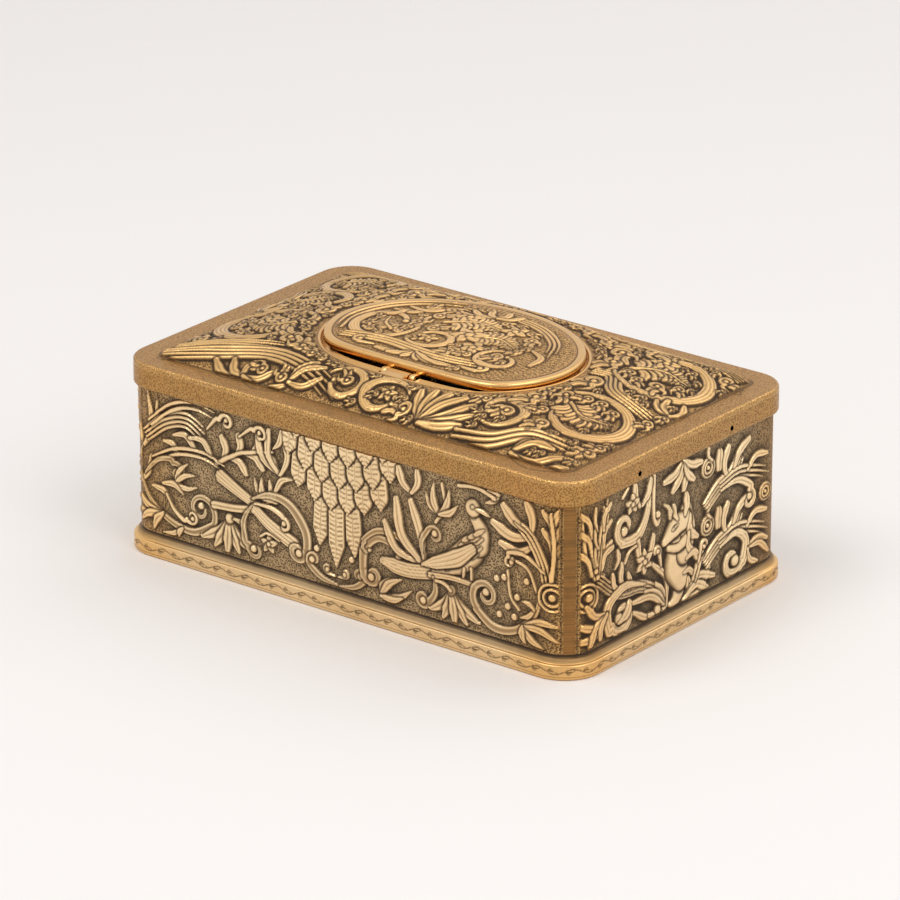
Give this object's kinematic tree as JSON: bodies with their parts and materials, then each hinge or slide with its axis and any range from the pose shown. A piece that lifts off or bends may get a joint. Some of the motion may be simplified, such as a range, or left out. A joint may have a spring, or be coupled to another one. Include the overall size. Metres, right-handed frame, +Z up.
{
  "type": "singing bird music box",
  "caption": "Small gilt metal box with embossed scroll relief. An oval lid opens and a tiny bird rises through a pierced plate, worked by spring clockwork, bellows and a whistle.",
  "frame": {"origin": "centre of the plinth's footprint, on the surface it stands on", "axes": "+X along the length, towards the short side with the bellows behind it; +Y towards the front wall with the start slide; -Y towards the wall nearest the lid's hinge; +Z up"},
  "size_m": [0.102, 0.0652, 0.0426],
  "materials": {
    "gilt_relief": "chased and gilt, dark patina in the hollows",
    "gilt_polished": "polished gilding",
    "gilt_grille": "pierced and gilt, satin",
    "brass": "fine brushed",
    "steel": "polished",
    "blued_steel": "heat blued",
    "dark_steel": "blackened",
    "feathers": "fine glued feathers",
    "wing_feathers": "long glued feathers",
    "beak": "bone, polished",
    "board": "thin hard board, varnished",
    "leather": "thin pale skin, matt"
  },
  "bodies": {
    "case": {"plinth": "gilt_relief", "base_plate": "gilt_polished", "base_screws": "blued_steel", "movement_screws": "blued_steel", "case_shell": "gilt_relief", "top_frame": "gilt_relief", "frame_pins": "dark_steel", "hinge_block": "gilt_polished", "hinge_pin": "gilt_polished", "well_ring": "gilt_polished", "grille_plate": "gilt_grille", "bird_bracket": "brass", "carriage_pin": "steel", "lower_plate": "brass", "upper_plate": "brass", "pillars": "brass", "lever_posts": "steel", "click_spring": "blued_steel", "whistle_tube": "brass", "whistle_clips": "brass", "wind_channel": "brass", "bellows_wall": "board", "bellows_leather": "leather"},
    "lid": {"bird_lid": "gilt_relief"},
    "carriage": {"bird_carriage": "brass"},
    "bird": {"bird_stem": "steel", "bird_body": "feathers"},
    "beak": {"bird_beak": "beak"},
    "tail": {"bird_tail": "wing_feathers"},
    "wing_left": {"bird_wing_left": "wing_feathers"},
    "wing_right": {"bird_wing_right": "wing_feathers"},
    "song_lever": {"song_lever": "steel"},
    "piston_lever": {"piston_lever": "steel"},
    "piston": {"whistle_piston": "steel"},
    "barrel": {"great_wheel": "brass", "spring_barrel": "brass", "barrel_cover": "brass", "mainspring": "blued_steel"},
    "cams": {"cam_arbor": "steel", "cam_pinion": "steel", "cam_wheel": "brass", "cam_stack": "steel"},
    "third": {"third_arbor": "steel", "third_wheel": "brass"},
    "fourth": {"fourth_arbor": "steel", "fourth_wheel": "brass"},
    "governor": {"fly_arbor": "steel", "fly": "brass"},
    "winding": {"barrel_arbor": "steel", "ratchet_wheel": "steel"},
    "click": {"click": "steel"},
    "feeder": {"feeder_board": "board"},
    "rod": {"connecting_rod": "steel"},
    "reservoir": {"reservoir_board": "board"},
    "start_slide": {"start_slide": "gilt_polished"},
    "start_lever": {"start_lever": "steel"}
  },
  "joints": [
    {"name": "lid_hinge", "type": "hinge", "parent": "case", "child": "lid", "pos_m": [0, -0.0154, 0.0395], "axis": [1, 0, 0], "range_deg": [0, 95]},
    {"name": "bird_rise", "type": "hinge", "parent": "case", "child": "carriage", "pos_m": [0, -0.005, 0.0335], "axis": [1, 0, 0], "range_deg": [0, 90]},
    {"name": "bird_turn", "type": "hinge", "parent": "carriage", "child": "bird", "pos_m": [0, 0, 0.036], "axis": [0, 1, 0], "range_deg": [0, 40]},
    {"name": "beak_hinge", "type": "hinge", "parent": "bird", "child": "beak", "pos_m": [0.00487, 0.00565, 0.036], "axis": [0, 0, -1], "range_deg": [0, 20]},
    {"name": "tail_hinge", "type": "hinge", "parent": "bird", "child": "tail", "pos_m": [-0.00487, 0.00123, 0.036], "axis": [0, 0, 1], "range_deg": [0, 12]},
    {"name": "wing_left_hinge", "type": "hinge", "parent": "bird", "child": "wing_left", "pos_m": [-0.0009, 0.0049, 0.03262], "axis": [0.9511, 0.309, 0], "range_deg": [0, 14]},
    {"name": "wing_right_hinge", "type": "hinge", "parent": "bird", "child": "wing_right", "pos_m": [-0.0009, 0.0049, 0.03938], "axis": [-0.9511, -0.309, 0], "range_deg": [0, 14]},
    {"name": "song_lever_pivot", "type": "hinge", "parent": "case", "child": "song_lever", "pos_m": [-0.026, -0.016, 0.0286], "axis": [0, 0, 1], "range_deg": [0, 8]},
    {"name": "piston_slide", "type": "slide", "parent": "case", "child": "piston", "axis": [1, 0, 0], "range_m": [0, 0.0029]},
    {"name": "piston_lever_pivot", "type": "hinge", "parent": "case", "child": "piston_lever", "pos_m": [-0.026, -0.016, 0.0264], "axis": [0, 0, 1], "range_deg": [0, 17]},
    {"name": "third_spin", "type": "hinge", "parent": "case", "child": "third", "pos_m": [-0.00127, 0.0094, 0.015], "axis": [0, 0, 1], "continuous": true},
    {"name": "barrel_spin", "type": "hinge", "parent": "case", "child": "barrel", "pos_m": [-0.03, 0.006, 0.013], "axis": [0, 0, 1], "continuous": true},
    {"name": "cams_spin", "type": "hinge", "parent": "case", "child": "cams", "pos_m": [-0.01414, -0.0014, 0.015], "axis": [0, 0, 1], "continuous": true},
    {"name": "fourth_spin", "type": "hinge", "parent": "case", "child": "fourth", "pos_m": [0.004, -0.00507, 0.015], "axis": [0, 0, 1], "continuous": true},
    {"name": "governor_spin", "type": "hinge", "parent": "case", "child": "governor", "pos_m": [-0.0023, -0.01598, 0.018], "axis": [0, 0, 1], "continuous": true},
    {"name": "winding_spin", "type": "hinge", "parent": "case", "child": "winding", "pos_m": [-0.03, 0.006, 0.013], "axis": [0, 0, 1], "continuous": true},
    {"name": "click_pivot", "type": "hinge", "parent": "case", "child": "click", "pos_m": [-0.03479, 0.01501, 0.0233], "axis": [0, 0, 1], "range_deg": [0, 8]},
    {"name": "feeder_hinge", "type": "hinge", "parent": "case", "child": "feeder", "pos_m": [0.02615, 0.0206, 0.018], "axis": [0, 0, -1], "range_deg": [0, 5]},
    {"name": "rod_pin", "type": "hinge", "parent": "feeder", "child": "rod", "pos_m": [0.0241, -0.00507, 0.013], "axis": [0, 0, 1], "range_deg": [0, 5]},
    {"name": "reservoir_hinge", "type": "hinge", "parent": "case", "child": "reservoir", "pos_m": [0.03715, -0.0206, 0.018], "axis": [0, 0, -1], "range_deg": [0, 6]},
    {"name": "start_slide_travel", "type": "slide", "parent": "case", "child": "start_slide", "axis": [1, 0, 0], "range_m": [0, 0.005]},
    {"name": "start_lever_pivot", "type": "hinge", "parent": "case", "child": "start_lever", "pos_m": [0.0095, 0.004, 0.0242], "axis": [0, 0, -1], "range_deg": [0, 13.2]}
  ],
  "couplings": [
    {"joint": "bird_rise", "follows": "lid_hinge", "ratio": 0.94736},
    {"joint": "bird_turn", "follows": "lid_hinge", "ratio": 0.42105},
    {"joint": "beak_hinge", "follows": "song_lever_pivot", "ratio": 2.5},
    {"joint": "tail_hinge", "follows": "song_lever_pivot", "ratio": 1.5},
    {"joint": "wing_left_hinge", "follows": "song_lever_pivot", "ratio": 1.75},
    {"joint": "wing_right_hinge", "follows": "song_lever_pivot", "ratio": 1.75},
    {"joint": "piston_lever_pivot", "follows": "piston_slide", "rad_per_m": 102.3},
    {"joint": "barrel_spin", "follows": "third_spin", "ratio": 0.05},
    {"joint": "cams_spin", "follows": "third_spin", "ratio": -0.2},
    {"joint": "fourth_spin", "follows": "third_spin", "ratio": -4.5},
    {"joint": "governor_spin", "follows": "third_spin", "ratio": 15.75},
    {"joint": "rod_pin", "follows": "feeder_hinge", "ratio": 1},
    {"joint": "start_lever_pivot", "follows": "start_slide_travel", "rad_per_m": 45}
  ]
}
